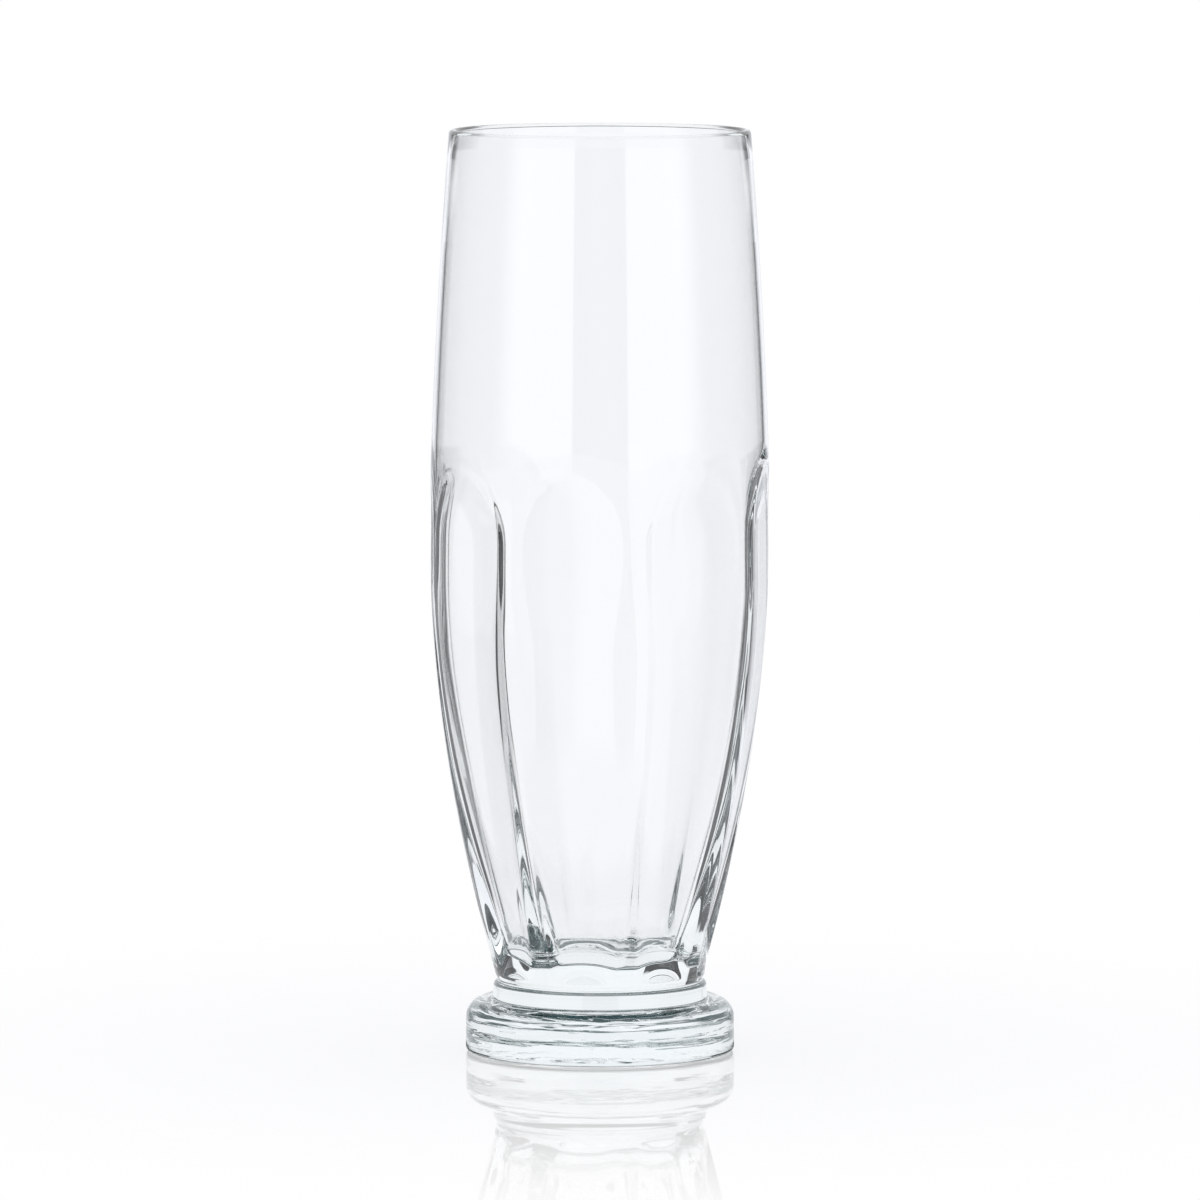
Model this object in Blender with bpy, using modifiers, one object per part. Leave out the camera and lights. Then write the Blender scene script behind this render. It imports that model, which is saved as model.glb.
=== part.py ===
"""Footed beer tumbler of clear pressed-and-blown glass, standing upright on its foot.

The glass is three gathers that are fused hot, one above the other on the Z axis: a pressed foot, a short
collar and a blown bowl with eight arched panels. Each gather is its own closed solid.
Units are metres, +Z is up, and the origin is the centre of the foot's underside, on the table.
"""

import math

import bmesh
import bpy

# Heights above the table
TOTAL_HEIGHT = 0.2070
BELLY_HEIGHT = 0.1050
PANEL_TOP = 0.1335
PANEL_SPRING = 0.1165
FLOOR_HEIGHT = 0.0210

# Foot
FOOT_DIAMETER = 0.0604
FOOT_HEIGHT = 0.0126
FOOT_SHOULDER_RADIUS = 0.0042
FOOT_EDGE_RADIUS = 0.0010
FOOT_RING_WIDTH = 0.0070
PUNT_DEPTH = 0.0025

# Collar between the foot and the bowl
COLLAR_HEIGHT = 0.0041
COLLAR_BASE_DIAMETER = 0.0516
NECK_DIAMETER = 0.0471
COLLAR_FLARE_POWER = 3.0

# Bowl, outside
BELLY_DIAMETER = 0.0768
RIM_DIAMETER = 0.0674
BARREL_POWER = 1.7
NECK_EDGE_RADIUS = 0.0006

# Bowl, inside
RIM_WALL = 0.0018
UPPER_WALL = 0.0013
BELLY_WALL = 0.0034
RIM_BEAD_HEIGHT = 0.0300
WALL_EASE = 0.0120
FLOOR_DIAMETER = 0.0350
FLOOR_FILLET = 0.0050
CAVITY_POWER = 1.8

# Arched panels round the bowl
PANEL_COUNT = 8
PANEL_SPAN_DEG = 36.0
PANEL_TOE_SPAN_DEG = 29.0
PANEL_TOE_GAP = 0.0010
PANEL_TOE_RUN = 0.0025
PANEL_NARROWING_POWER = 3.0
FRONT_ANGLE_DEG = -90.0

# Gap that stands for each fused seam between two gathers
SEAM_GAP = 0.0003

# Fineness of the turned and cut surfaces
TURN_STEPS = 72
OUTER_WALL_STEPS = 20
INNER_WALL_STEPS = 16
ARC_STEPS = 4
CUTTER_STEPS = 24
CUTTER_MARGIN = 0.0040
MERGE_DISTANCE = 0.00001

# Places worked out from the sizes above
COLLAR_BOTTOM = FOOT_HEIGHT + SEAM_GAP
COLLAR_TOP = COLLAR_BOTTOM + COLLAR_HEIGHT
BOWL_BOTTOM = COLLAR_TOP + SEAM_GAP
PANEL_TOE = BOWL_BOTTOM + PANEL_TOE_GAP


def clear_scene():
    for scene_object in list(bpy.data.objects):
        bpy.data.objects.remove(scene_object)


def new_collection(name):
    made = bpy.data.collections.new(name)
    bpy.context.scene.collection.children.link(made)
    return made


def clear_glass(name, tint):
    """Soda-lime glass: colourless, fire-polished and fully see-through."""
    material = bpy.data.materials.new(name)
    material.use_nodes = True
    shader = material.node_tree.nodes["Principled BSDF"]
    shader.inputs["Base Color"].default_value = (*tint, 1.0)
    shader.inputs["Roughness"].default_value = 0.02
    shader.inputs["Metallic"].default_value = 0.0
    shader.inputs["IOR"].default_value = 1.52
    shader.inputs["Transmission Weight"].default_value = 1.0
    return material


def spread(first, last, steps):
    """Evenly spaced values from first to last, both included."""
    return [first + (last - first) * i / steps for i in range(steps + 1)]


def eased(value, start, end):
    """0 up to start, 1 from end on, and an even S-curve between them."""
    way = min(max((value - start) / (end - start), 0.0), 1.0)
    return way * way * (3 - 2 * way)


def rounded_corner(before, corner, after, radius):
    """Points of the arc that rounds a profile's corner. The arc stays within half of each leg."""
    legs = [(end[0] - corner[0], end[1] - corner[1]) for end in (before, after)]
    lengths = [math.hypot(*leg) for leg in legs]
    ways = [(leg[0] / length, leg[1] / length) for leg, length in zip(legs, lengths)]
    half_angle = math.acos(ways[0][0] * ways[1][0] + ways[0][1] * ways[1][1]) / 2
    setback = min(radius / math.tan(half_angle), min(lengths) / 2)
    arc_radius = setback * math.tan(half_angle)
    reach = arc_radius / math.sin(half_angle)
    middle = (ways[0][0] + ways[1][0], ways[0][1] + ways[1][1])
    middle_length = math.hypot(*middle)
    centre = [corner[i] + middle[i] / middle_length * reach for i in (0, 1)]
    start, end = ([corner[i] + way[i] * setback for i in (0, 1)] for way in ways)
    start_angle = math.atan2(start[1] - centre[1], start[0] - centre[0])
    turn = math.atan2(end[1] - centre[1], end[0] - centre[0]) - start_angle
    turn = (turn + math.pi) % math.tau - math.pi
    angles = spread(start_angle, start_angle + turn, ARC_STEPS)
    return [(centre[0] + arc_radius * math.cos(a), centre[1] + arc_radius * math.sin(a)) for a in angles]


def turned(name, profile, material, collection):
    """A solid of revolution about Z. The profile is (radius, height) pairs and runs down its outer side."""
    mesh = bpy.data.meshes.new(name)
    points = [(radius, 0.0, height) for radius, height in profile]
    mesh.from_pydata(points, [(i, i + 1) for i in range(len(points) - 1)], [])
    mesh.materials.append(material)
    solid = bpy.data.objects.new(name, mesh)
    collection.objects.link(solid)
    screw = solid.modifiers.new("turn", "SCREW")
    screw.axis = "Z"
    screw.steps = screw.render_steps = TURN_STEPS
    screw.use_merge_vertices = True
    screw.merge_threshold = MERGE_DISTANCE
    screw.use_smooth_shade = True
    return solid


def outer_radius(height):
    """The barrel outside: widest at the belly, drawn in by a power of the way to the rim or to the neck."""
    if height >= BELLY_HEIGHT:
        way = (height - BELLY_HEIGHT) / (TOTAL_HEIGHT - BELLY_HEIGHT)
        end_diameter = RIM_DIAMETER
    else:
        way = (BELLY_HEIGHT - height) / (BELLY_HEIGHT - BOWL_BOTTOM)
        end_diameter = NECK_DIAMETER
    return (BELLY_DIAMETER - (BELLY_DIAMETER - end_diameter) * way**BARREL_POWER) / 2


def inner_radius(height):
    """The cavity: the wall is thin above the panels, swells behind them and closes in to the thick floor.

    The rim is a bead, so the wall thickens a little again over the last stretch below it.
    """
    if height >= BELLY_HEIGHT:
        swell = eased(height, PANEL_TOP + WALL_EASE, max(PANEL_SPRING, BELLY_HEIGHT))
        bead = eased(height, TOTAL_HEIGHT - RIM_BEAD_HEIGHT, TOTAL_HEIGHT)
        wall = UPPER_WALL + (BELLY_WALL - UPPER_WALL) * swell + (RIM_WALL - UPPER_WALL) * bead
        return outer_radius(height) - wall
    belly_radius = BELLY_DIAMETER / 2 - BELLY_WALL
    way = (BELLY_HEIGHT - height) / (BELLY_HEIGHT - FLOOR_HEIGHT)
    return belly_radius - (belly_radius - FLOOR_DIAMETER / 2) * way**CAVITY_POWER


def panel_depth(height):
    """How far a panel's flat lies inside the barrel, on the panel's middle line.

    The flat is a chord of the panel's span. It runs out in an arch at the top and in a short curve at the toe.
    """
    way_down = (PANEL_SPRING - height) / (PANEL_SPRING - PANEL_TOE)
    narrowing = max(way_down, 0.0) ** PANEL_NARROWING_POWER
    span = PANEL_SPAN_DEG - (PANEL_SPAN_DEG - PANEL_TOE_SPAN_DEG) * narrowing
    depth = outer_radius(height) * (1 - math.cos(math.radians(span / 2)))
    arch = min((PANEL_TOP - height) / (PANEL_TOP - PANEL_SPRING), 1.0)
    toe = min((height - PANEL_TOE) / PANEL_TOE_RUN, 1.0)
    return depth * (1 - (1 - arch) ** 2) * (1 - (1 - toe) ** 2)


def bowl_profile():
    """Cavity floor, cavity wall, rounded rim, outer wall and underside, from axis to axis."""
    wall_foot = FLOOR_HEIGHT + FLOOR_FILLET
    wall_start = (inner_radius(wall_foot), wall_foot)
    floor_centre = (0.0, FLOOR_HEIGHT)
    floor_corner = (FLOOR_DIAMETER / 2, FLOOR_HEIGHT)
    rim_radius = RIM_WALL / 2
    rim_base = TOTAL_HEIGHT - rim_radius
    rim_middle = outer_radius(rim_base) - rim_radius
    neck_corner = (outer_radius(BOWL_BOTTOM), BOWL_BOTTOM)
    neck_above = BOWL_BOTTOM + 2 * NECK_EDGE_RADIUS
    wall_above_neck = (outer_radius(neck_above), neck_above)
    underside_centre = (0.0, BOWL_BOTTOM)

    profile = [floor_centre]
    profile += rounded_corner(floor_centre, floor_corner, wall_start, FLOOR_FILLET)
    inner_heights = spread(wall_foot, rim_base, INNER_WALL_STEPS)
    profile += [(inner_radius(height), height) for height in inner_heights[:-1]]
    rim_angles = spread(math.pi, 0.0, 2 * ARC_STEPS)
    profile += [(rim_middle + rim_radius * math.cos(a), rim_base + rim_radius * math.sin(a)) for a in rim_angles]
    outer_heights = spread(rim_base, neck_above, OUTER_WALL_STEPS)
    profile += [(outer_radius(height), height) for height in outer_heights[1:]]
    profile += rounded_corner(wall_above_neck, neck_corner, underside_centre, NECK_EDGE_RADIUS)
    return profile + [underside_centre]


def panel_cutter_mesh():
    """A block whose inner side follows one panel's flat. It is drawn in radius and height, then extruded."""
    flat_heights = spread(PANEL_TOE, PANEL_TOP, CUTTER_STEPS)
    outline = [(outer_radius(height) - panel_depth(height), height) for height in flat_heights]
    clear_radius = BELLY_DIAMETER / 2 + CUTTER_MARGIN
    outline += [(clear_radius, PANEL_TOP), (clear_radius, PANEL_TOE)]

    curve = bpy.data.curves.new("panel_outline", "CURVE")
    curve.dimensions = "2D"
    curve.fill_mode = "BOTH"
    curve.extrude = BELLY_DIAMETER / 2 * math.tan(math.pi / PANEL_COUNT)
    spline = curve.splines.new("POLY")
    spline.points.add(len(outline) - 1)
    for point, (radius, height) in zip(spline.points, outline):
        point.co = (radius, height, 0.0, 1.0)
    spline.use_cyclic_u = True

    drawn = bpy.data.objects.new("panel_outline", curve)
    bpy.context.scene.collection.objects.link(drawn)
    drawn_now = drawn.evaluated_get(bpy.context.evaluated_depsgraph_get())
    mesh = bpy.data.meshes.new_from_object(drawn_now)
    bpy.data.objects.remove(drawn)

    block = bmesh.new()
    block.from_mesh(mesh)
    bmesh.ops.remove_doubles(block, verts=block.verts, dist=MERGE_DISTANCE)
    bmesh.ops.recalc_face_normals(block, faces=block.faces)
    block.to_mesh(mesh)
    block.free()
    return mesh


def add_panel_cutters(collection):
    """One cutter for each panel, with the first panel facing the front, along -Y."""
    mesh = panel_cutter_mesh()
    for number in range(PANEL_COUNT):
        cutter = bpy.data.objects.new(f"panel_cutter_{number + 1}", mesh)
        turn = math.radians(FRONT_ANGLE_DEG) + math.tau * number / PANEL_COUNT
        cutter.rotation_euler = (math.pi / 2, 0.0, turn)
        cutter.hide_render = True
        cutter.display_type = "WIRE"
        collection.objects.link(cutter)


def make_bowl(collection, cutters):
    """The blown bowl, turned and then cut with its ring of arched panels."""
    glass = clear_glass("bowl_clear_glass", (0.95, 0.97, 0.98))
    bowl = turned("bowl", bowl_profile(), glass, collection)
    cut = bowl.modifiers.new("arched_panels", "BOOLEAN")
    cut.operation = "DIFFERENCE"
    cut.operand_type = "COLLECTION"
    cut.collection = cutters
    cut.solver = "EXACT"
    return bowl


def make_collar(collection):
    """The waist of solid glass under the bowl, flaring down to the foot in a hollow curve."""
    top_radius = NECK_DIAMETER / 2
    base_radius = COLLAR_BASE_DIAMETER / 2
    profile = [(0.0, COLLAR_TOP)]
    for height in spread(COLLAR_TOP, COLLAR_BOTTOM, 2 * ARC_STEPS):
        flare = ((COLLAR_TOP - height) / COLLAR_HEIGHT) ** COLLAR_FLARE_POWER
        profile.append((top_radius + (base_radius - top_radius) * flare, height))
    profile.append((0.0, COLLAR_BOTTOM))
    return turned("neck_collar", profile, clear_glass("collar_clear_glass", (0.94, 0.96, 0.97)), collection)


def make_foot(collection):
    """The pressed foot: a thick disc with a round shoulder, a flat bearing ring and a domed punt beneath."""
    foot_radius = FOOT_DIAMETER / 2
    ring_outer = foot_radius - FOOT_EDGE_RADIUS
    punt_radius = ring_outer - FOOT_RING_WIDTH
    top_centre = (0.0, FOOT_HEIGHT)
    top_corner = (foot_radius, FOOT_HEIGHT)
    bottom_corner = (foot_radius, 0.0)
    ring_inner = (punt_radius, 0.0)

    profile = [top_centre, (COLLAR_BASE_DIAMETER / 2, FOOT_HEIGHT)]
    profile += rounded_corner(top_centre, top_corner, bottom_corner, FOOT_SHOULDER_RADIUS)
    profile += rounded_corner(top_corner, bottom_corner, ring_inner, FOOT_EDGE_RADIUS)
    for radius in spread(punt_radius, 0.0, 2 * ARC_STEPS):
        profile.append((radius, PUNT_DEPTH * (1 - (radius / punt_radius) ** 2)))
    return turned("foot", profile, clear_glass("foot_clear_glass", (0.93, 0.96, 0.96)), collection)


clear_scene()
tumbler_parts = new_collection("beer_tumbler")
panel_cutters = new_collection("panel_cutters")
add_panel_cutters(panel_cutters)
make_foot(tumbler_parts)
make_collar(tumbler_parts)
make_bowl(tumbler_parts, panel_cutters)
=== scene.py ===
"""A tall footed beer tumbler in clear glass: the looks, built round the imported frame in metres, +Z up."""
import math

import bpy
import numpy as np
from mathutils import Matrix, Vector


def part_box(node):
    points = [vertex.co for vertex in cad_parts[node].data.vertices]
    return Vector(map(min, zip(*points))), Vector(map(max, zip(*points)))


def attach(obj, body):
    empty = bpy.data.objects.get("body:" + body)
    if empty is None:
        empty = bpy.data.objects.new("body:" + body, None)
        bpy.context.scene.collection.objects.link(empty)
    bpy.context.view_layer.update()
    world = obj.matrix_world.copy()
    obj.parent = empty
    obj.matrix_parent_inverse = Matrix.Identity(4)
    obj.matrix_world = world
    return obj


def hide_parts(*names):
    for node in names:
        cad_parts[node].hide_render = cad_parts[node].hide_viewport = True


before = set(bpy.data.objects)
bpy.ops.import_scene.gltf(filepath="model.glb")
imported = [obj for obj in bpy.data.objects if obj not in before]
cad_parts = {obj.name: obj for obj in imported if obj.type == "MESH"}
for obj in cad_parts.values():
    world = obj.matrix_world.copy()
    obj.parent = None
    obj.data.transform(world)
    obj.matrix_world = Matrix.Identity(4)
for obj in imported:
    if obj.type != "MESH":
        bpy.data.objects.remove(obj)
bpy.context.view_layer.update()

# The bowl
# A barrel of soda-lime glass, blown into a mould that presses eight arched panels into its lower half.
# Its rim is fire-polished to a round lip, and its wall thickens downwards to a heavy floor.
TOTAL_HEIGHT = float(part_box("bowl")[1][2])
BELLY_HEIGHT = 0.1050
BELLY_RADIUS = 0.0384
RIM_RADIUS = 0.0337
NECK_HEIGHT = 0.0173
NECK_RADIUS = 0.02355
BARREL_POWER = 1.7
RIM_WALL = 0.0018
UPPER_WALL = 0.0012
BELLY_WALL = 0.00177
RIM_BEAD_HEIGHT = 0.0300
THIN_FROM = 0.1120
THIN_TO = 0.1370
LIP_RADIUS = 0.0009
FLOOR_HEIGHT = 0.0210
FLOOR_RADIUS = 0.0175
FLOOR_FLAT = 0.0125
FLOOR_CORNER = 0.0178
FLOOR_RISE = 0.0055
CAVITY_POWER = 1.83
CORNER_SHARE = 0.187
BULGE_SHARE = 0.018
INNER_FLAT = 0.1170
INNER_ROUND = 0.1370
PANEL_COUNT = 8
PANEL_TOP = 0.1335
PANEL_SPRING = 0.1165
PANEL_HOLLOW = 0.0002
PANEL_SPAN = math.radians(36.6)
TOE_SPAN = math.radians(30.0)
SPAN_POWER = 3.0
TOE_RUN = 0.0105
DISH_DEPTH = 0.0015
DISH_GROWTH = 3.0
DISH_POWER = 3.5
DISH_TOP = 0.1300
DISH_FOOT = 0.0250
ARCH_EDGE = 0.0002
RIB_EDGE = 0.00132
EDGE_FULL = 0.0880

# Every ring of points is eight times the same run of columns. They lie close together at the ribs, where the
# glass bends sharply, and wide apart on the panels. Rows lie close together at the panels' arches and toes.
RIB_ZONE = math.radians(9.0)
FLAT_COLUMNS = 17
RIB_COLUMNS = 13
FLOOR_ROWS = 6
FILLET_ROWS = 14
LIP_ROWS = 15
UPPER_ROWS = 12
INNER_ARCH_ROWS = 16
INNER_LOWER_ROWS = 32
OUTER_ARCH_ROWS = 40
OUTER_LOWER_ROWS = 34
TOE_ROWS = 26
ARCH_ROWS_TOP = 0.1380
ARCH_ROWS_FOOT = 0.1100
TOE_ROWS_TOP = 0.0320
panel_pitch = 2.0 * math.pi / PANEL_COUNT
half_pitch = panel_pitch / 2.0
flat_edge = half_pitch - RIB_ZONE
panel_columns = np.concatenate([
    np.linspace(-half_pitch, -flat_edge, RIB_COLUMNS, endpoint=False),
    np.linspace(-flat_edge, flat_edge, FLAT_COLUMNS, endpoint=False),
    np.linspace(flat_edge, half_pitch, RIB_COLUMNS, endpoint=False),
])
# Each column's angle from the middle of its own panel, and its turn about the axis from the front panel.
off_centre = np.tile(panel_columns, PANEL_COUNT)
turn = np.repeat(np.arange(PANEL_COUNT) * panel_pitch, len(panel_columns)) + off_centre


def eased(value, start, end):
    """Smooth step: 0 at start, 1 at end, and level at both."""
    way = np.clip((value - start) / (end - start), 0.0, 1.0)
    return way * way * (3.0 - 2.0 * way)


def outer_radius(height):
    """Barrel: the belly's radius, less a power curve up to the rim and another down to the neck."""
    up = np.clip((height - BELLY_HEIGHT) / (TOTAL_HEIGHT - BELLY_HEIGHT), 0.0, None)
    down = np.clip((BELLY_HEIGHT - height) / (BELLY_HEIGHT - NECK_HEIGHT), 0.0, None)
    above = (BELLY_RADIUS - RIM_RADIUS) * up ** BARREL_POWER
    below = (BELLY_RADIUS - NECK_RADIUS) * down ** BARREL_POWER
    return BELLY_RADIUS - above - below


def cavity_radius(height):
    """Round inside: the barrel less its wall above the belly, and a power curve to the floor below it."""
    rim_share = eased(height, TOTAL_HEIGHT - RIM_BEAD_HEIGHT, TOTAL_HEIGHT)
    belly_share = eased(height, THIN_TO, THIN_FROM)
    wall = UPPER_WALL + (RIM_WALL - UPPER_WALL) * rim_share + (BELLY_WALL - UPPER_WALL) * belly_share
    belly = BELLY_RADIUS - BELLY_WALL
    down = np.clip((BELLY_HEIGHT - height) / (BELLY_HEIGHT - FLOOR_HEIGHT), 0.0, None)
    lower = belly - (belly - FLOOR_RADIUS) * down ** CAVITY_POWER
    return np.where(height >= BELLY_HEIGHT, outer_radius(height) - wall, lower)


def panel_half_span(height):
    """Half of a panel's angle: the full span at its arch, narrowing by a power curve towards its toe."""
    way = np.clip((PANEL_SPRING - height) / (PANEL_SPRING - NECK_HEIGHT), 0.0, 1.0)
    return (PANEL_SPAN - (PANEL_SPAN - TOE_SPAN) * way ** SPAN_POWER) / 2.0


def panel_reach(level):
    """1 on a panel's middle line, 0 on its outline and less outside: straight sides under half an ellipse."""
    over = np.clip((level - PANEL_SPRING) / (PANEL_TOP - PANEL_SPRING), 0.0, None)
    return 1.0 - (off_centre / panel_half_span(level)) ** 2 - over ** 2


def panel_depth(level):
    """How deep a panel cuts at its middle: the rise of the arc over its span, and the hollow of its face."""
    return PANEL_HOLLOW + outer_radius(level) * (1.0 - np.cos(panel_half_span(level)))


def panel_dish(level):
    """How far a panel is dished below its face: nothing at its arch and its ribs, and most near the floor."""
    down = np.clip((DISH_TOP - level) / (DISH_TOP - DISH_FOOT), 0.0, 1.0)
    across = np.abs(off_centre / panel_half_span(level))
    return DISH_DEPTH * down ** DISH_GROWTH * (1.0 - across ** DISH_POWER)


def soft_smaller(first, second, blend):
    """The smaller of two surfaces, with the edge where they cross rounded over the width of the blend."""
    mix = np.clip(0.5 + 0.5 * (second - first) / blend, 0.0, 1.0)
    return second + (first - second) * mix - blend * mix * (1.0 - mix)


def panelled_outside(radius, height):
    """Outer wall: the barrel, cut back by each panel's dished face, with the cut run out towards the toe."""
    level = np.repeat(height[:, None], len(turn), axis=1)
    barrel = radius[:, None] + 0.0 * level
    face = barrel - panel_depth(level) * panel_reach(level) - panel_dish(level)
    edge = ARCH_EDGE + (RIB_EDGE - ARCH_EDGE) * eased(level, PANEL_SPRING, EDGE_FULL)
    toe = np.clip((level - NECK_HEIGHT) / TOE_RUN, 0.0, 1.0)
    return barrel - toe * (barrel - soft_smaller(barrel, face, edge))


def panelled_inside(radius, height):
    """Inner wall: an eight-sided section with round corners behind the ribs, and round above the panels.

    A corner is an arc about a point on the rib's line, and the flat between two corners touches both arcs.
    Each flat bulges a little into the bowl.
    """
    share = CORNER_SHARE + (1.0 - CORNER_SHARE) * eased(height, INNER_FLAT, INNER_ROUND)[:, None]
    reach = 1.0 - share
    flat = reach * math.cos(half_pitch) + share
    touch = np.arctan2(reach * math.sin(half_pitch), flat)
    from_rib = half_pitch - np.abs(off_centre)
    across = np.clip(share ** 2 - (reach * np.sin(from_rib)) ** 2, 0.0, None)
    corner = reach * np.cos(from_rib) + np.sqrt(across)
    section = np.where(np.abs(off_centre) < touch, flat / np.cos(off_centre), corner)
    bulge = BULGE_SHARE * np.cos(math.pi * off_centre / panel_pitch) ** 2 * reach / (1.0 - CORNER_SHARE)
    return radius[:, None] * (section - bulge)


def arc(centre, radii, start, end, count):
    """Points of an ellipse's arc in the profile, as radius and height, between two angles in degrees."""
    angle = np.radians(np.linspace(start, end, count))
    return centre[0] + radii[0] * np.cos(angle), centre[1] + radii[1] * np.sin(angle)


def curve(start, corner, end, count):
    """Points of a quadratic curve in the profile, from start towards a corner and round it to the end."""
    way = np.linspace(0.0, 1.0, count)
    weights = ((1.0 - way) ** 2, 2.0 * way * (1.0 - way), way ** 2)
    radius = weights[0] * start[0] + weights[1] * corner[0] + weights[2] * end[0]
    height = weights[0] * start[1] + weights[1] * corner[1] + weights[2] * end[1]
    return radius, height


def heights(*stretches):
    """Heights along the wall: each stretch is its start, its end and how many rows it has."""
    runs = [np.linspace(start, end, count, endpoint=False) for start, end, count in stretches]
    return np.concatenate(runs + [np.array([stretches[-1][1]])])


lip_height = TOTAL_HEIGHT - LIP_RADIUS
wall_foot = FLOOR_HEIGHT + FLOOR_RISE
floor_radius = np.linspace(0.0, FLOOR_FLAT, FLOOR_ROWS, endpoint=False)
floor_height = np.full(FLOOR_ROWS, FLOOR_HEIGHT)
fillet_radius, fillet_height = curve(
    (FLOOR_FLAT, FLOOR_HEIGHT), (FLOOR_CORNER, FLOOR_HEIGHT),
    (float(cavity_radius(np.array(wall_foot))), wall_foot), FILLET_ROWS)
inside_height = heights(
    (wall_foot, ARCH_ROWS_FOOT, INNER_LOWER_ROWS), (ARCH_ROWS_FOOT, ARCH_ROWS_TOP, INNER_ARCH_ROWS),
    (ARCH_ROWS_TOP, lip_height, UPPER_ROWS))
cavity_height = np.concatenate([floor_height, fillet_height[:-1], inside_height])
cavity_profile = np.concatenate([floor_radius, fillet_radius[:-1], cavity_radius(inside_height)])
inside_rows = (panelled_inside(cavity_profile, cavity_height), cavity_height)

lip_centre = (float(outer_radius(np.array(lip_height))) - LIP_RADIUS, lip_height)
lip_radius, lip_level = arc(lip_centre, (LIP_RADIUS, LIP_RADIUS), 180.0, 0.0, LIP_ROWS)
lip_rows = (lip_radius[1:-1], lip_level[1:-1])

outside_height = heights(
    (lip_height, ARCH_ROWS_TOP, UPPER_ROWS), (ARCH_ROWS_TOP, ARCH_ROWS_FOOT, OUTER_ARCH_ROWS),
    (ARCH_ROWS_FOOT, TOE_ROWS_TOP, OUTER_LOWER_ROWS), (TOE_ROWS_TOP, NECK_HEIGHT, TOE_ROWS))
outside_rows = (panelled_outside(outer_radius(outside_height), outside_height), outside_height)


# The neck collar
# A short band of solid glass between the bowl and the foot, pressed in the same heat.
# A fine groove parts it from the bowl, and it runs out into the foot in a tight hollow curve.
COLLAR_RADIUS = 0.0240
COLLAR_TOP = 0.0156
COLLAR_EDGE = 0.0007
COLLAR_ROUND = 0.0012
COLLAR_FOOT_RADIUS = 0.0242
COLLAR_FOOT = 0.0121
GROOVE_HEIGHT = 0.0162
GROOVE_RADIUS = 0.02300
GROOVE_ROWS = 5
STEP_ROWS = 7
COLLAR_ROUND_ROWS = 9
BAND_ROWS = 5
collar_inside = COLLAR_RADIUS - COLLAR_EDGE
band_top = COLLAR_TOP - COLLAR_ROUND
groove_height = np.linspace(NECK_HEIGHT, GROOVE_HEIGHT, GROOVE_ROWS)
groove_radius = np.linspace(NECK_RADIUS, GROOVE_RADIUS, GROOVE_ROWS)
step_radius, step_height = curve(
    (GROOVE_RADIUS, GROOVE_HEIGHT), (GROOVE_RADIUS, COLLAR_TOP), (collar_inside, COLLAR_TOP), STEP_ROWS)
round_radius, round_height = arc(
    (collar_inside, band_top), (COLLAR_EDGE, COLLAR_ROUND), 90.0, 0.0, COLLAR_ROUND_ROWS)
band_height = np.linspace(band_top, COLLAR_FOOT, BAND_ROWS)
band_radius = np.linspace(COLLAR_RADIUS, COLLAR_FOOT_RADIUS, BAND_ROWS)
# Each run of the profile starts on the last point of the run above it, so that point is left out.
collar_rows = (
    np.concatenate([run[1:] for run in (groove_radius, step_radius, round_radius, band_radius)]),
    np.concatenate([run[1:] for run in (groove_height, step_height, round_height, band_height)]),
)


# The foot
# A thick pressed disc of solid glass with a round shoulder and a hollow underside, standing on a flat ring.
# Glass that chills in the press keeps faint ripples round its side and wrinkles under it.
FOOT_RADIUS = float(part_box("foot")[1][0])
SHOULDER_START = 0.0262
SHOULDER_TOP = 0.0116
SHOULDER_FOOT = 0.0073
HOLLOW_CORNER = 0.0243
EDGE_RADIUS = 0.0010
RING_INSIDE = 0.0222
PUNT_DEPTH = 0.0010
HOLLOW_ROWS = 10
SHOULDER_ROWS = 16
SIDE_ROWS = 10
EDGE_ROWS = 7
RING_ROWS = 5
PUNT_ROWS = 20
hollow_radius, hollow_height = curve(
    (COLLAR_FOOT_RADIUS, COLLAR_FOOT), (HOLLOW_CORNER, SHOULDER_TOP), (SHOULDER_START, SHOULDER_TOP),
    HOLLOW_ROWS)
shoulder_size = (FOOT_RADIUS - SHOULDER_START, SHOULDER_TOP - SHOULDER_FOOT)
shoulder_radius, shoulder_height = arc(
    (SHOULDER_START, SHOULDER_FOOT), shoulder_size, 90.0, 0.0, SHOULDER_ROWS)
side_height = np.linspace(SHOULDER_FOOT, EDGE_RADIUS, SIDE_ROWS)[1:-1]
side_radius = np.full(len(side_height), FOOT_RADIUS)
ring_outside = FOOT_RADIUS - EDGE_RADIUS
edge_radius, edge_height = arc((ring_outside, EDGE_RADIUS), (EDGE_RADIUS, EDGE_RADIUS), 0.0, -90.0, EDGE_ROWS)
ring_radius = np.linspace(ring_outside, RING_INSIDE, RING_ROWS)[1:-1]
ring_height = np.zeros(len(ring_radius))
punt_radius = np.linspace(RING_INSIDE, 0.0, PUNT_ROWS)
punt_height = PUNT_DEPTH * (1.0 - (punt_radius / RING_INSIDE) ** 2)
foot_profile = np.concatenate(
    [hollow_radius[1:], shoulder_radius[1:], side_radius, edge_radius, ring_radius, punt_radius])
foot_level = np.concatenate(
    [hollow_height[1:], shoulder_height[1:], side_height, edge_height, ring_height, punt_height])


def wrinkles(x, y, waves, shortest, longest, seed):
    """Uneven glass: plane waves of seeded length and direction, added up and scaled to about one."""
    draw = np.random.default_rng(seed)
    length = draw.uniform(shortest, longest, waves)
    direction = draw.uniform(0.0, 2.0 * math.pi, waves)
    start = draw.uniform(0.0, 2.0 * math.pi, waves)
    across = x[..., None] * np.cos(direction) + y[..., None] * np.sin(direction)
    return np.sin(2.0 * math.pi * across / length + start).sum(axis=-1) / math.sqrt(waves / 2.0)


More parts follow.
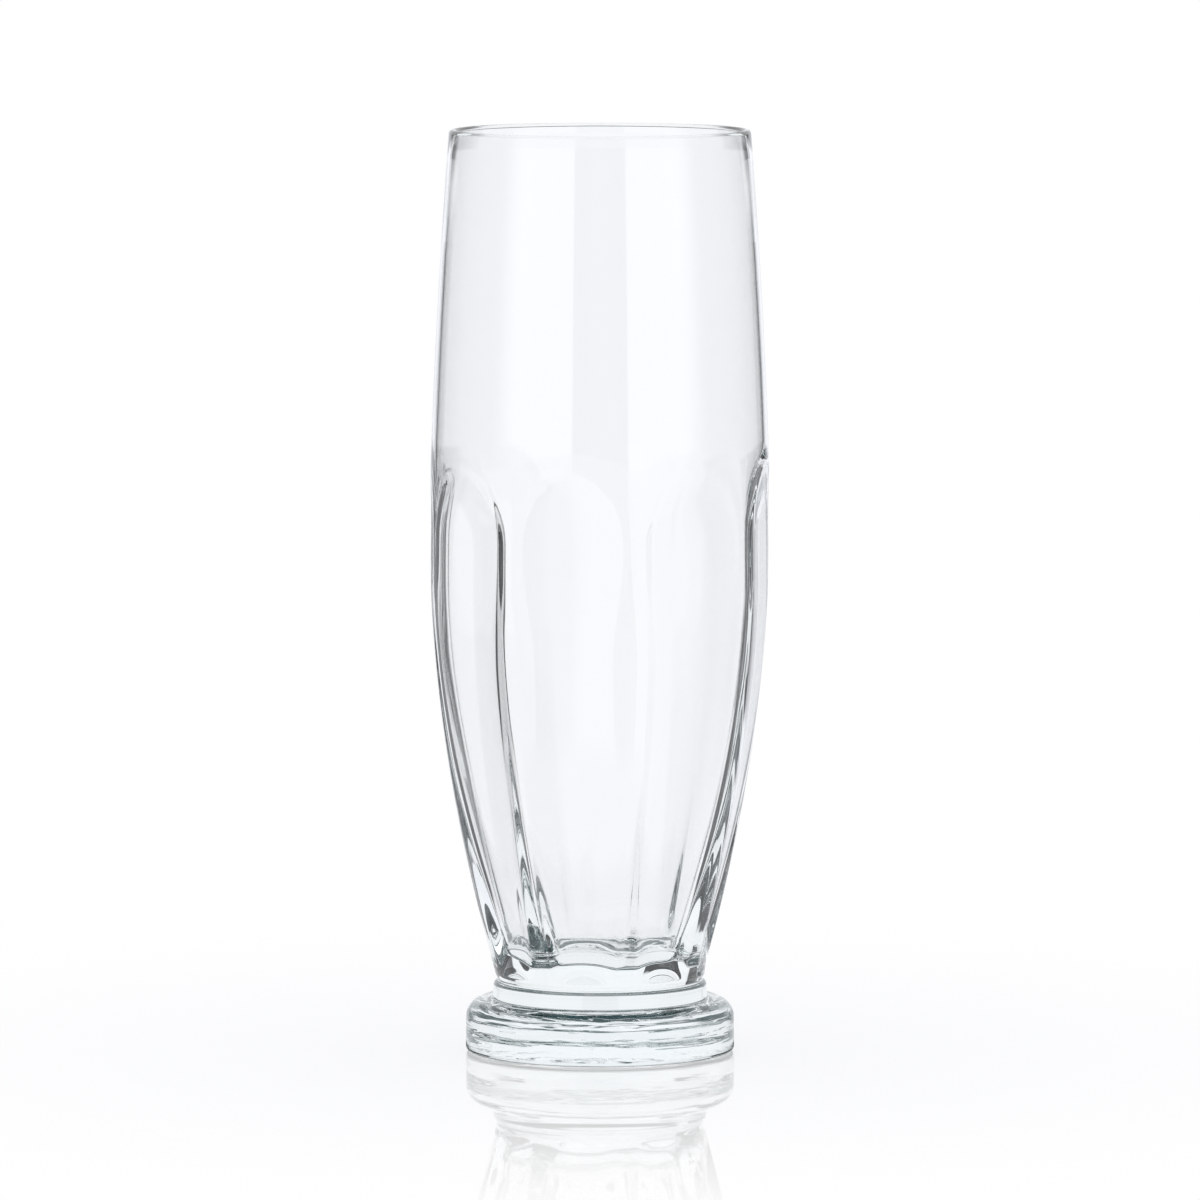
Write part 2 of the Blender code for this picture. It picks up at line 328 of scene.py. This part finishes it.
# Ripples 1.4 to 4 mm apart up the side, drawn out eight times as long round it, which fade at its two edges,
# and wrinkles 4.5 to 12.6 mm apart under the foot.
RIPPLE_DEPTH = 0.00002
RIPPLE_WAVES = 12
RIPPLE_SHORTEST = 0.0014
RIPPLE_LONGEST = 0.0040
RIPPLE_SEED = 5
RIPPLE_SQUEEZE = 0.12
RIPPLE_FADE = 0.0010
RIPPLE_FOOT = 0.0002
WRINKLE_HEIGHT = 0.00005
WRINKLE_WAVES = 10
WRINKLE_SHORTEST = 0.0045
WRINKLE_LONGEST = 0.0126
WRINKLE_SEED = 3
foot_x = foot_profile[:, None] * np.cos(turn)
foot_y = foot_profile[:, None] * np.sin(turn)
below_shoulder = eased(foot_level, SHOULDER_TOP, SHOULDER_TOP - RIPPLE_FADE)
on_side = below_shoulder * eased(foot_level, RIPPLE_FOOT, EDGE_RADIUS)
round_side = FOOT_RADIUS * turn[None, :] + 0.0 * foot_x
up_side = foot_level[:, None] + 0.0 * foot_x
side_ripple = wrinkles(
    RIPPLE_SQUEEZE * round_side, up_side, RIPPLE_WAVES, RIPPLE_SHORTEST, RIPPLE_LONGEST, RIPPLE_SEED)
under = np.zeros(len(foot_profile))
under[-PUNT_ROWS:] = 1.0
under_wrinkle = wrinkles(foot_x, foot_y, WRINKLE_WAVES, WRINKLE_SHORTEST, WRINKLE_LONGEST, WRINKLE_SEED)
foot_rows = (
    foot_profile[:, None] - RIPPLE_DEPTH * on_side[:, None] * np.abs(side_ripple),
    foot_level[:, None] + WRINKLE_HEIGHT * under[:, None] * np.abs(under_wrinkle),
)


# The glass body
# Bowl, collar and foot are one continuous body of glass: the seams between the gathers are fused hot.
# So the looks have one closed skin, from the middle of the bowl's floor, over the rim and down to the middle
# of the underside.
FRONT_ANGLE = -math.pi / 2.0


def full_rows(rows):
    """Radius and height of some rows as whole grids, one value for each column."""
    radius, height = rows
    radius = radius if radius.ndim == 2 else np.repeat(radius[:, None], len(turn), axis=1)
    height = height if height.ndim == 2 else np.repeat(height[:, None], len(turn), axis=1)
    return radius, height


def closed_skin(name, radius, height):
    """Mesh of a grid turned about Z, whose first and last rows shrink to a point each, with faces outward."""
    angle = turn + FRONT_ANGLE
    grid = np.stack([radius * np.cos(angle), radius * np.sin(angle), height], axis=2)
    points = np.concatenate([grid[0, :1], grid[1:-1].reshape(-1, 3), grid[-1, :1]])
    rows, columns = radius.shape
    index = 1 + np.arange((rows - 2) * columns).reshape(rows - 2, columns)
    beside = np.roll(index, -1, axis=1)
    quads = np.stack([index[:-1], index[1:], beside[1:], beside[:-1]], axis=2).reshape(-1, 4)
    first_fan = np.stack([np.zeros(columns, dtype=int), index[0], beside[0]], axis=1)
    last_fan = np.stack([np.full(columns, len(points) - 1), beside[-1], index[-1]], axis=1)
    mesh = bpy.data.meshes.new(name)
    mesh.from_pydata(points.tolist(), [], first_fan.tolist() + quads.tolist() + last_fan.tolist())
    mesh.shade_smooth()
    return mesh


def linear(hex_colour):
    """Linear RGBA of an sRGB hex colour: a straight line near black, and a power curve over it."""
    values = [int(hex_colour[place:place + 2], 16) / 255.0 for place in (1, 3, 5)]
    shares = [value / 12.92 if value <= 0.04045 else ((value + 0.055) / 1.055) ** 2.4 for value in values]
    return (*shares, 1.0)


def add_node(tree, kind, inputs=None, **settings):
    """Add a node, set its properties, and set or link each named or numbered input."""
    node = tree.nodes.new(kind)
    for name, value in settings.items():
        setattr(node, name, value)
    for name, value in (inputs or {}).items():
        if isinstance(value, bpy.types.NodeSocket):
            tree.links.new(value, node.inputs[name])
        else:
            node.inputs[name].default_value = value
    return node


skin = [full_rows(rows) for rows in (inside_rows, lip_rows, outside_rows, collar_rows, foot_rows)]
skin_radius = np.concatenate([radius for radius, height in skin])
skin_height = np.concatenate([height for radius, height in skin])
glass_mesh = closed_skin("glass_body", skin_radius, skin_height)
glass_body = bpy.data.objects.new("glass_body", glass_mesh)
bpy.context.scene.collection.objects.link(glass_body)

# Fire-polished soda-lime glass: colourless where it is thin, faintly blue-green where the eye looks along it.
# Drawing the gather leaves streaks about 3 mm wide and ten times as long, so its bright edges waver a little.
# The foot has finer lines too, 0.9 mm apart and 12 mm long, which break up its bright bands.
WHITE = "#FFFFFF"
GLASS_IOR = 1.52
GLASS_DEPTH_COLOUR = "#DCF3F3"
GLASS_DENSITY = 4.0
GRAIN_DETAIL = 1.0
STREAK_WIDTH = 0.003
STREAK_LENGTH = 0.030
STREAK_HEIGHT = 0.000004
LINE_LENGTH = 0.012
LINE_WIDTH = 0.0009
LINE_HEIGHT = 0.00005
clear_glass = bpy.data.materials.new("fire_polished_soda_lime_glass")
clear_glass.use_nodes = True
glass_tree = clear_glass.node_tree
glass_shader = glass_tree.nodes["Principled BSDF"]
glass_shader.inputs["Base Color"].default_value = linear(WHITE)
glass_shader.inputs["Roughness"].default_value = 0.0
glass_shader.inputs["IOR"].default_value = GLASS_IOR
glass_shader.inputs["Transmission Weight"].default_value = 1.0
glass_place = add_node(glass_tree, "ShaderNodeTexCoord")


def glass_grain(across, upward):
    """Soft noise in the glass, whose grains measure one length across the axis and another along it."""
    place = add_node(
        glass_tree, "ShaderNodeMapping",
        {"Vector": glass_place.outputs["Object"], "Scale": (1.0 / across, 1.0 / across, 1.0 / upward)})
    grain = add_node(
        glass_tree, "ShaderNodeTexNoise",
        {"Vector": place.outputs["Vector"], "Scale": 1.0, "Detail": GRAIN_DETAIL})
    return grain.outputs["Fac"]


streak_bump = add_node(
    glass_tree, "ShaderNodeBump",
    {"Height": glass_grain(STREAK_WIDTH, STREAK_LENGTH), "Strength": 1.0, "Distance": STREAK_HEIGHT})
glass_parts = add_node(glass_tree, "ShaderNodeSeparateXYZ", {"Vector": glass_place.outputs["Object"]})
on_foot = add_node(
    glass_tree, "ShaderNodeMapRange",
    {"Value": glass_parts.outputs["Z"], "From Min": SHOULDER_TOP, "From Max": SHOULDER_TOP - RIPPLE_FADE},
    interpolation_type="SMOOTHSTEP")
foot_lines = add_node(
    glass_tree, "ShaderNodeMath", {0: glass_grain(LINE_LENGTH, LINE_WIDTH), 1: on_foot.outputs["Result"]},
    operation="MULTIPLY")
line_bump = add_node(
    glass_tree, "ShaderNodeBump",
    {"Height": foot_lines.outputs["Value"], "Strength": 1.0, "Distance": LINE_HEIGHT,
     "Normal": streak_bump.outputs["Normal"]})
glass_tree.links.new(line_bump.outputs["Normal"], glass_shader.inputs["Normal"])
glass_depth = add_node(
    glass_tree, "ShaderNodeVolumeAbsorption", {"Color": linear(GLASS_DEPTH_COLOUR), "Density": GLASS_DENSITY})
glass_tree.links.new(glass_depth.outputs["Volume"], glass_tree.nodes["Material Output"].inputs["Volume"])
glass_mesh.materials.append(clear_glass)
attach(glass_body, "root")
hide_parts("bowl", "neck_collar", "foot")


# The camera
# A long lens from a little above the rim, turned so that the front panel stands left of the middle.
CAMERA_TURN = math.radians(9.3)
CAMERA_DISTANCE = 2.18
CAMERA_HEIGHT = 0.310
CAMERA_LENS = 293.0
CAMERA_SENSOR = 36.0
CAMERA_REACH = 50.0
AIM_HEIGHT = 0.1015
camera_data = bpy.data.cameras.new("camera")
camera_data.lens = CAMERA_LENS
camera_data.sensor_width = CAMERA_SENSOR
camera_data.clip_end = CAMERA_REACH
camera = bpy.data.objects.new("camera", camera_data)
camera.location = (
    CAMERA_DISTANCE * math.sin(CAMERA_TURN), -CAMERA_DISTANCE * math.cos(CAMERA_TURN), CAMERA_HEIGHT)
aim = Vector((0.0, 0.0, AIM_HEIGHT)) - camera.location
camera.rotation_euler = aim.to_track_quat("-Z", "Y").to_euler()
bpy.context.scene.collection.objects.link(camera)
bpy.context.scene.camera = camera


# The studio
# A tent for clear glass: a bright sheet behind, dark boards at the sides and above that draw the edges, and
# two soft boxes in front. Each is a stretch of the world by its angle from the line of sight and its height.
# A stop is that angle in degrees, 180 being behind the camera, and the light there. A band gives, in degrees
# above the horizon, where its lower edge starts and ends and where its upper edge starts and ends.
STUDIO_TINT = (0.965, 0.975, 1.0)
PALE_LEVEL = 0.95
DEEP_COLOUR = "#344A4E"
SEEN_STRAIGHT = [(0, 1.0), (17, 1.0), (20, 0.95), (21, 0.04), (85, 0.04), (92, 0.9)]
SEEN_MIRRORED = [(0, 1.0), (24, 1.0), (25.5, 0.25), (31, 0.25), (44, 1.0)]
SOFT_BOXES = [(0, 1.0), (50, 1.0), (98, 0.92), (120, 1.5), (160, 1.5), (161.5, 0.5)]
SEEN_INSIDE = [(0, 1.0), (24, 1.0), (25.5, 0.11), (66, 0.11), (70, 1.0)]
SEEN_DEEP = [(0, 1.0), (12, 1.0), (14, 0.08), (100, 0.04), (112, 0.6)]
STRAIGHT_BAND = (-16.0, -12.0, 30.0, 36.0)
DEEP_BAND = (-40.0, -32.0, 30.0, 36.0)
INSIDE_BAND = (-60.0, -55.0, 14.0, 20.0)
INSIDE_LOW = -4.6
INSIDE_HIGH = -3.6
GAP_BAND = (-15.0, -13.0, -9.5, -8.5)
GAP_SIDE = 30.0
GAP_LEVEL = 0.12
LEAN_LOW = 1.0
LEAN_HIGH = 4.0
LEAN_ANGLE = 25.0
HALF_TURN = 180.0
# A count of turns above the first of these is one or more, and above the second it is past one wall.
NONE_YET = 0.5
ONE_WALL = 3.5
# The Mix node's two colours and its result, by place, because it has other sockets of the same names.
MIX_FIRST = 6
MIX_SECOND = 7
MIX_RESULT = 2
studio = bpy.data.worlds.new("studio")
studio.use_nodes = True
bpy.context.scene.world = studio
sky = studio.node_tree
sky.nodes.clear()
sight = add_node(sky, "ShaderNodeTexCoord")
turned = add_node(
    sky, "ShaderNodeVectorRotate", {"Vector": sight.outputs["Generated"], "Angle": -CAMERA_TURN},
    rotation_type="Z_AXIS")
sight_parts = add_node(sky, "ShaderNodeSeparateXYZ", {"Vector": turned.outputs["Vector"]})
heading = add_node(
    sky, "ShaderNodeMath", {0: sight_parts.outputs["X"], 1: sight_parts.outputs["Y"]}, operation="ARCTAN2")
sideways = add_node(sky, "ShaderNodeMath", {0: heading.outputs["Value"]}, operation="ABSOLUTE")
side_share = add_node(sky, "ShaderNodeMath", {0: sideways.outputs["Value"], 1: math.pi}, operation="DIVIDE")
climb = add_node(sky, "ShaderNodeMath", {0: sight_parts.outputs["Z"]}, operation="ARCSINE")
rise = add_node(sky, "ShaderNodeMath", {0: climb.outputs["Value"]}, operation="DEGREES")


def tinted(level):
    """Light of the studio at one level."""
    return (*[level * part for part in STUDIO_TINT], 1.0)


def risen(start, end, most=1.0):
    """How far light's angle above the horizon lies from start to end, eased from 0 to the most."""
    way = add_node(
        sky, "ShaderNodeMapRange",
        {"Value": rise.outputs["Value"], "From Min": start, "From Max": end, "To Max": most},
        interpolation_type="SMOOTHSTEP")
    return way.outputs["Result"]


def by_side(stops, share):
    """Light by the angle from the line of sight: the stops' levels, with straight runs between them."""
    ramp = add_node(sky, "ShaderNodeValToRGB", {"Fac": share.outputs["Value"]})
    elements = ramp.color_ramp.elements
    elements.remove(elements[-1])
    for place, (degrees, level) in enumerate(stops):
        element = elements[0] if place == 0 else elements.new(degrees / HALF_TURN)
        element.color = tinted(level)
    return ramp.outputs["Color"]


def by_height(light, band):
    """Light by the angle above the horizon: pale up to the band, the given light in it, and dark over it."""
    low_start, low_end, top_start, top_end = band
    up_to_top = add_node(
        sky, "ShaderNodeMix",
        {0: risen(low_start, low_end), MIX_FIRST: tinted(PALE_LEVEL), MIX_SECOND: light},
        data_type="RGBA")
    whole = add_node(
        sky, "ShaderNodeMix",
        {0: risen(top_start, top_end), MIX_FIRST: up_to_top.outputs[MIX_RESULT],
         MIX_SECOND: linear(DEEP_COLOUR)},
        data_type="RGBA")
    return whole.outputs[MIX_RESULT]


# Light that bounced deep inside the glass sees the boards all round, and light that came straight through
# sees less of them. Light that one wall mirrors sees their edges and the soft boxes, so walls stay clear.
lean = risen(LEAN_LOW, LEAN_HIGH, LEAN_ANGLE / HALF_TURN)
board_share = add_node(sky, "ShaderNodeMath", {0: side_share.outputs["Value"], 1: lean}, operation="SUBTRACT")
path = add_node(sky, "ShaderNodeLightPath")
bounced = add_node(
    sky, "ShaderNodeMath", {0: path.outputs["Glossy Depth"], 1: NONE_YET}, operation="GREATER_THAN")
turns = add_node(
    sky, "ShaderNodeMath", {0: path.outputs["Glossy Depth"], 1: path.outputs["Transmission Depth"]},
    operation="ADD")
deep = add_node(sky, "ShaderNodeMath", {0: turns.outputs["Value"], 1: ONE_WALL}, operation="GREATER_THAN")
mirrored = add_node(
    sky, "ShaderNodeMix",
    {0: risen(LEAN_HIGH, LEAN_LOW), MIX_FIRST: by_side(SOFT_BOXES, side_share),
     MIX_SECOND: by_side(SEEN_MIRRORED, side_share)},
    data_type="RGBA", blend_type="MULTIPLY")
within = add_node(
    sky, "ShaderNodeMix",
    {0: risen(INSIDE_HIGH, INSIDE_LOW), MIX_FIRST: mirrored.outputs[MIX_RESULT],
     MIX_SECOND: by_side(SEEN_INSIDE, side_share)},
    data_type="RGBA")
entered = add_node(
    sky, "ShaderNodeMath", {0: path.outputs["Transmission Depth"], 1: NONE_YET}, operation="GREATER_THAN")
once = add_node(
    sky, "ShaderNodeMix",
    {0: entered.outputs["Value"], MIX_FIRST: mirrored.outputs[MIX_RESULT],
     MIX_SECOND: by_height(within.outputs[MIX_RESULT], INSIDE_BAND)},
    data_type="RGBA")
echo = add_node(
    sky, "ShaderNodeMix",
    {0: deep.outputs["Value"], MIX_FIRST: once.outputs[MIX_RESULT],
     MIX_SECOND: by_height(by_side(SEEN_DEEP, board_share), DEEP_BAND)},
    data_type="RGBA")

# Between the table and the bright sheet is a dark gap, which light that passed one wall shows as a line.
gap_foot, gap_foot_end, gap_top, gap_top_end = GAP_BAND
gap_height = add_node(
    sky, "ShaderNodeMath", {0: risen(gap_foot, gap_foot_end), 1: risen(gap_top_end, gap_top)},
    operation="MULTIPLY")
gap_side = add_node(
    sky, "ShaderNodeMath", {0: side_share.outputs["Value"], 1: GAP_SIDE / HALF_TURN}, operation="LESS_THAN")
gap_place = add_node(
    sky, "ShaderNodeMath", {0: gap_height.outputs["Value"], 1: gap_side.outputs["Value"]},
    operation="MULTIPLY")
one_wall = add_node(
    sky, "ShaderNodeMath", {0: path.outputs["Transmission Depth"], 1: ONE_WALL}, operation="LESS_THAN")
gap = add_node(
    sky, "ShaderNodeMath", {0: gap_place.outputs["Value"], 1: one_wall.outputs["Value"]},
    operation="MULTIPLY")
straight = add_node(
    sky, "ShaderNodeMix",
    {0: gap.outputs["Value"], MIX_FIRST: by_height(by_side(SEEN_STRAIGHT, board_share), STRAIGHT_BAND),
     MIX_SECOND: tinted(GAP_LEVEL)},
    data_type="RGBA")
on_glass = add_node(
    sky, "ShaderNodeMix",
    {0: bounced.outputs["Value"], MIX_FIRST: straight.outputs[MIX_RESULT],
     MIX_SECOND: echo.outputs[MIX_RESULT]},
    data_type="RGBA")

# Glass shows the tent, while the camera and the table's matt white see plain white.
through_glass = add_node(
    sky, "ShaderNodeMath", {0: path.outputs["Is Glossy Ray"], 1: path.outputs["Is Transmission Ray"]},
    operation="MAXIMUM")
off_table = add_node(
    sky, "ShaderNodeMath", {0: path.outputs["Diffuse Depth"], 1: NONE_YET}, operation="LESS_THAN")
tent_share = add_node(
    sky, "ShaderNodeMath", {0: through_glass.outputs["Value"], 1: off_table.outputs["Value"]},
    operation="MULTIPLY")
shown = add_node(
    sky, "ShaderNodeMix",
    {0: tent_share.outputs["Value"], MIX_FIRST: linear(WHITE), MIX_SECOND: on_glass.outputs[MIX_RESULT]},
    data_type="RGBA")
behind = add_node(
    sky, "ShaderNodeMix",
    {0: path.outputs["Is Camera Ray"], MIX_FIRST: shown.outputs[MIX_RESULT], MIX_SECOND: linear(WHITE)},
    data_type="RGBA")
sky_light = add_node(sky, "ShaderNodeBackground", {"Color": behind.outputs[MIX_RESULT], "Strength": 1.0})
add_node(sky, "ShaderNodeOutputWorld", {"Surface": sky_light.outputs["Background"]})


# The table
# A polished white acrylic sheet that mirrors the foot, and fades to plain white away from it.
# Seen through the glass it has a painted pool of light: a glowing round spot under the foot and a fan along
# the line of sight. The rest is left open there, so the boards show past the lit part, and a painted shadow
# ring lies under the foot's edge.
TABLE_HALF = 3.0
TABLE_HEIGHT = -0.0002
TABLE_COLOUR = "#FAFAFA"
TABLE_ROUGHNESS = 0.02
TABLE_IOR = 1.49
GLOW_SHARE = 0.6
MIRROR_NEAR = 0.050
MIRROR_FAR = 0.270
FAN_SLOPE = 0.854
FAN_FADE = 0.010
FAN_LONG = 0.170
FAN_LONG_FADE = 0.060
# Where the painted pool of light and the painted shadow ring lie on the sheet.
SPOT_RADIUS = 0.070
SPOT_FADE = 0.015
SHADE_INSIDE = 0.031
SHADE_OUTSIDE = 0.034
SHADE_FADE = 0.003
SHADE_LEVEL = 0.08
table_corners = TABLE_HALF * np.array([[-1, -1], [1, -1], [1, 1], [-1, 1]])
table_level = np.full((len(table_corners), 1), TABLE_HEIGHT)
table_mesh = bpy.data.meshes.new("table")
table_mesh.from_pydata(np.concatenate([table_corners, table_level], axis=1).tolist(), [], [(0, 1, 2, 3)])
table = bpy.data.objects.new("table", table_mesh)
bpy.context.scene.collection.objects.link(table)
white_sheet = bpy.data.materials.new("polished_white_acrylic")
white_sheet.use_nodes = True
sheet_tree = white_sheet.node_tree
sheet_tree.nodes.remove(sheet_tree.nodes["Principled BSDF"])
sheet_path = add_node(sheet_tree, "ShaderNodeLightPath")
sheet_place = add_node(sheet_tree, "ShaderNodeTexCoord")
from_foot = add_node(
    sheet_tree, "ShaderNodeVectorMath", {0: sheet_place.outputs["Object"]}, operation="LENGTH")


def outward(start, end):
    """How far a point's distance from the foot's middle lies from start to end, eased from 0 to 1."""
    way = add_node(
        sheet_tree, "ShaderNodeMapRange",
        {"Value": from_foot.outputs["Value"], "From Min": start, "From Max": end},
        interpolation_type="SMOOTHSTEP")
    return way.outputs["Result"]


# Seen directly: matt white with its own glow under a gloss, and plain white far from the foot.
sheet_matt = add_node(sheet_tree, "ShaderNodeBsdfDiffuse", {"Color": linear(TABLE_COLOUR)})
sheet_gloss = add_node(
    sheet_tree, "ShaderNodeBsdfGlossy", {"Color": linear(WHITE), "Roughness": TABLE_ROUGHNESS})
sheet_fresnel = add_node(sheet_tree, "ShaderNodeFresnel", {"IOR": TABLE_IOR})
sheet_white = add_node(sheet_tree, "ShaderNodeEmission", {"Color": linear(WHITE)})
sheet_lit = add_node(
    sheet_tree, "ShaderNodeMixShader",
    {0: GLOW_SHARE, 1: sheet_matt.outputs["BSDF"], 2: sheet_white.outputs["Emission"]})
sheet_near = add_node(
    sheet_tree, "ShaderNodeMixShader",
    {0: sheet_fresnel.outputs["Fac"], 1: sheet_lit.outputs["Shader"], 2: sheet_gloss.outputs["BSDF"]})
plain_share = add_node(
    sheet_tree, "ShaderNodeMath",
    {0: outward(MIRROR_NEAR, MIRROR_FAR), 1: sheet_path.outputs["Is Camera Ray"]}, operation="MULTIPLY")
sheet_direct = add_node(
    sheet_tree, "ShaderNodeMixShader",
    {0: plain_share.outputs["Value"], 1: sheet_near.outputs["Shader"], 2: sheet_white.outputs["Emission"]})

# Seen through the glass: the painted light of the fan and spot, the painted shadow ring, and nothing past
# them.
fan_turned = add_node(
    sheet_tree, "ShaderNodeVectorRotate", {"Vector": sheet_place.outputs["Object"], "Angle": -CAMERA_TURN},
    rotation_type="Z_AXIS")
fan_place = add_node(
    sheet_tree, "ShaderNodeVectorMath", {0: fan_turned.outputs["Vector"]}, operation="ABSOLUTE")
fan_parts = add_node(sheet_tree, "ShaderNodeSeparateXYZ", {"Vector": fan_place.outputs["Vector"]})
fan_width = add_node(
    sheet_tree, "ShaderNodeMath", {0: fan_parts.outputs["Y"], 1: FAN_SLOPE}, operation="MULTIPLY")
fan_side = add_node(
    sheet_tree, "ShaderNodeMath", {0: fan_parts.outputs["X"], 1: fan_width.outputs["Value"]},
    operation="SUBTRACT")
beside_fan = add_node(
    sheet_tree, "ShaderNodeMapRange",
    {"Value": fan_side.outputs["Value"], "From Min": 0.0, "From Max": FAN_FADE},
    interpolation_type="SMOOTHSTEP")
past_fan = add_node(
    sheet_tree, "ShaderNodeMath",
    {0: beside_fan.outputs["Result"], 1: outward(FAN_LONG, FAN_LONG + FAN_LONG_FADE)}, operation="MAXIMUM")
unlit = add_node(
    sheet_tree, "ShaderNodeMath",
    {0: past_fan.outputs["Value"], 1: outward(SPOT_RADIUS, SPOT_RADIUS + SPOT_FADE)}, operation="MINIMUM")
# A painted shadow ring on the sheet under the foot's edge, where the foot would shade it.
painted_shadow_ring = add_node(
    sheet_tree, "ShaderNodeMath",
    {0: outward(SHADE_INSIDE - SHADE_FADE, SHADE_INSIDE),
     1: outward(SHADE_OUTSIDE + SHADE_FADE, SHADE_OUTSIDE)},
    operation="MULTIPLY")
# Painted light and shade: the spot and fan glow pale, and the shadow ring glows faintly dark.
painted_light_glow = add_node(sheet_tree, "ShaderNodeEmission", {"Color": tinted(PALE_LEVEL)})
painted_shadow_glow = add_node(sheet_tree, "ShaderNodeEmission", {"Color": tinted(SHADE_LEVEL)})
sheet_open = add_node(sheet_tree, "ShaderNodeBsdfTransparent")
painted_spot_and_ring = add_node(
    sheet_tree, "ShaderNodeMixShader",
    {0: painted_shadow_ring.outputs["Value"], 1: painted_light_glow.outputs["Emission"], 2: painted_shadow_glow.outputs["Emission"]})
sheet_in_glass = add_node(
    sheet_tree, "ShaderNodeMixShader",
    {0: unlit.outputs["Value"], 1: painted_spot_and_ring.outputs["Shader"], 2: sheet_open.outputs["BSDF"]})
in_glass = add_node(
    sheet_tree, "ShaderNodeMath",
    {0: sheet_path.outputs["Is Glossy Ray"], 1: sheet_path.outputs["Is Transmission Ray"]},
    operation="MAXIMUM")
sheet_seen = add_node(
    sheet_tree, "ShaderNodeMixShader",
    {0: in_glass.outputs["Value"], 1: sheet_direct.outputs["Shader"], 2: sheet_in_glass.outputs["Shader"]})
sheet_tree.links.new(sheet_seen.outputs["Shader"], sheet_tree.nodes["Material Output"].inputs["Surface"])
table_mesh.materials.append(white_sheet)

# Light crosses four faces of the glass and bounces inside it, so its paths to the tent are long.
LONGEST_PATH = 48
MOST_PASSES = 40
MOST_MIRRORS = 32
scene = bpy.context.scene
scene.view_settings.view_transform = "Standard"
scene.cycles.max_bounces = LONGEST_PATH
scene.cycles.transmission_bounces = MOST_PASSES
scene.cycles.glossy_bounces = MOST_MIRRORS
